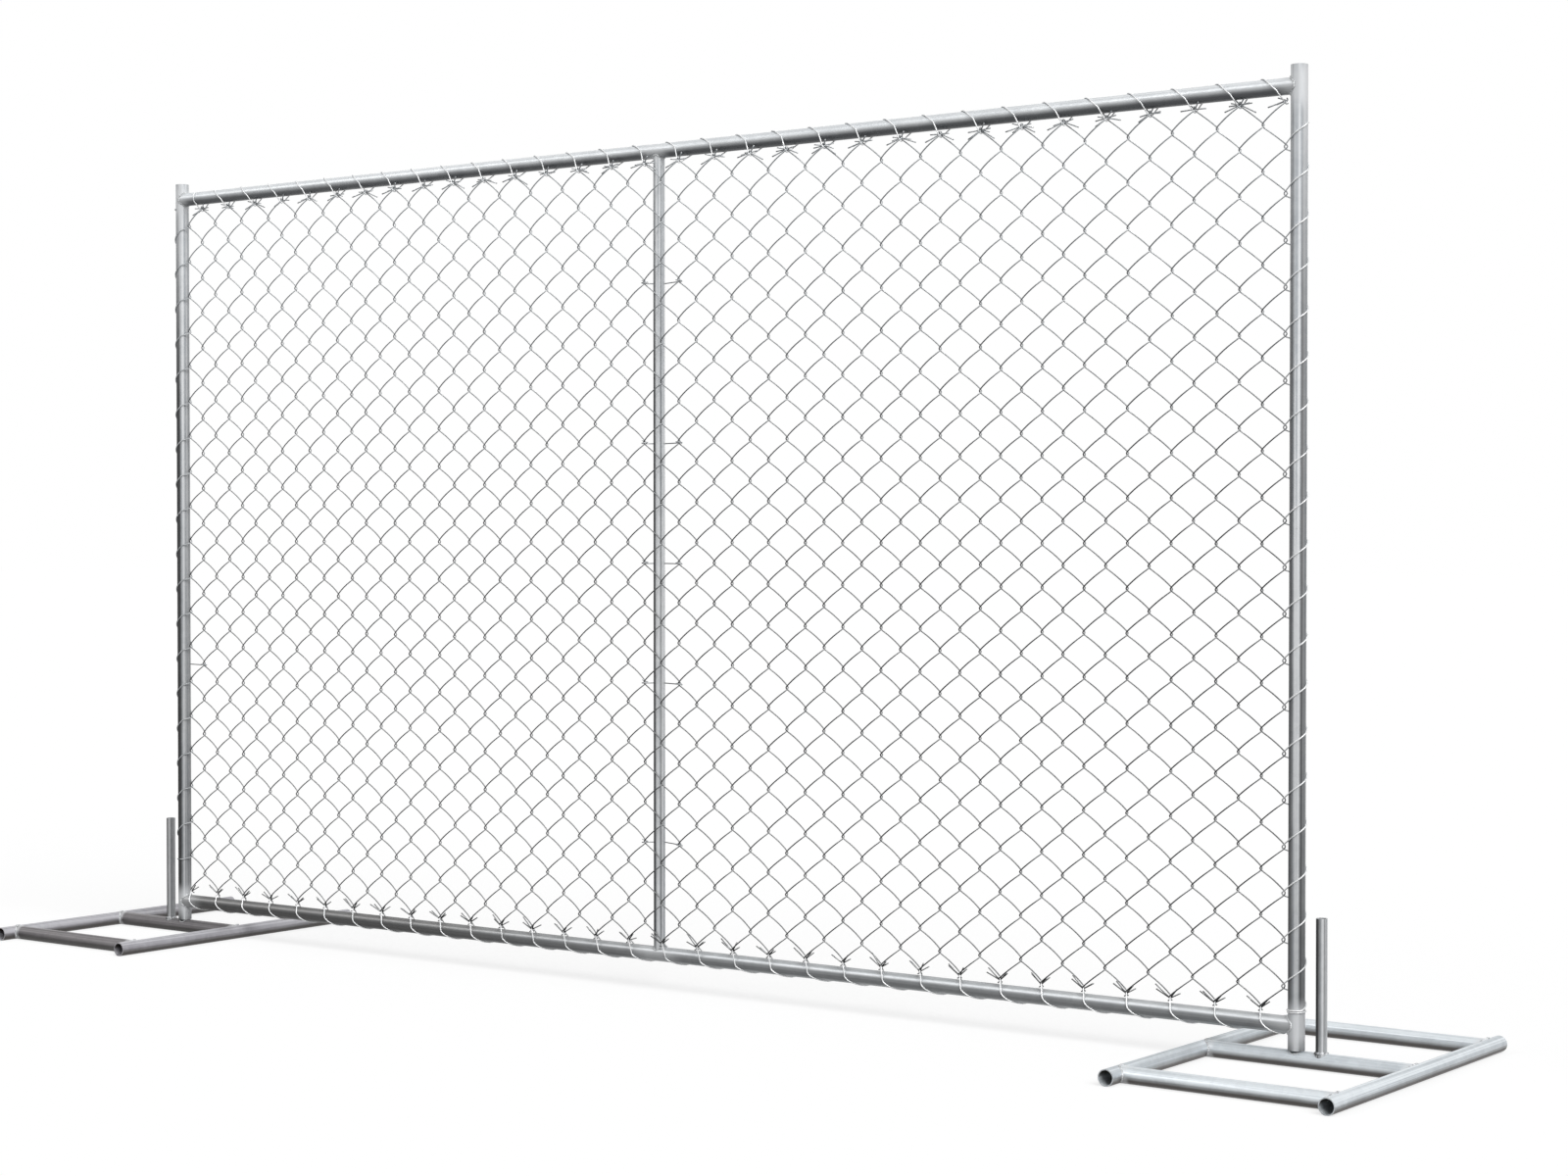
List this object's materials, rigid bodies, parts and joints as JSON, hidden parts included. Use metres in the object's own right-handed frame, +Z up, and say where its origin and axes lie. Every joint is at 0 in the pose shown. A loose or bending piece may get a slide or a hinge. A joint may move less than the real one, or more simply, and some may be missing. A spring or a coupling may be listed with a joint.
{
  "type": "temporary fence panel",
  "caption": "Welded tube fence panel filled with laced chain-link wire, its posts standing on the pegs of two loose tube stands.",
  "frame": {"origin": "on the ground, under the middle of the panel", "axes": "+X along the panel, -Y towards the face on which the fabric bulges past the brace, +Z up"},
  "size_m": [3.564, 0.75, 1.8613],
  "materials": {
    "frame_tube": "dull galvanised zinc",
    "stand_tube": "dull galvanised zinc, scuffed",
    "fabric_wire": "galvanised wire",
    "lacing_wire": "bright galvanised wire",
    "weld": "zinc-sprayed weld bead"
  },
  "bodies": {
    "left_stand": {"left_inner_runner": "stand_tube", "left_outer_runner": "stand_tube", "left_front_bar": "stand_tube", "left_middle_bar": "stand_tube", "left_rear_bar": "stand_tube", "left_spare_peg": "stand_tube", "left_stand_welds": "weld"},
    "left_peg": {"left_panel_peg": "stand_tube"},
    "panel": {"left_post": "frame_tube", "right_post": "frame_tube", "top_rail": "frame_tube", "bottom_rail": "frame_tube", "centre_brace": "frame_tube", "left_mesh_bay": "fabric_wire", "right_mesh_bay": "fabric_wire", "top_lacing": "lacing_wire", "bottom_lacing": "lacing_wire", "left_lacing": "lacing_wire", "right_lacing": "lacing_wire", "brace_ties": "lacing_wire", "left_post_welds": "weld", "right_post_welds": "weld", "brace_welds": "weld"},
    "right_peg": {"right_panel_peg": "stand_tube"},
    "right_stand": {"right_inner_runner": "stand_tube", "right_outer_runner": "stand_tube", "right_front_bar": "stand_tube", "right_middle_bar": "stand_tube", "right_rear_bar": "stand_tube", "right_spare_peg": "stand_tube", "right_stand_welds": "weld"}
  },
  "joints": [
    {"name": "left_swivel", "type": "hinge", "parent": "left_stand", "child": "left_peg", "pos_m": [-1.524, 0, 0.1573], "axis": [0, 0, 1], "range_deg": [-135, 135]},
    {"name": "panel_lift", "type": "slide", "parent": "left_peg", "child": "panel", "axis": [0, 0, 1], "range_m": [0, 0.26]},
    {"name": "right_peg_lift", "type": "slide", "parent": "panel", "child": "right_peg", "axis": [0, 0, -1], "range_m": [0, 0.26]},
    {"name": "right_swivel", "type": "hinge", "parent": "right_peg", "child": "right_stand", "pos_m": [1.524, 0, 0.1573], "axis": [0, 0, 1], "range_deg": [-135, 135]}
  ],
  "couplings": [
    {"joint": "right_peg_lift", "follows": "panel_lift", "ratio": 1}
  ]
}
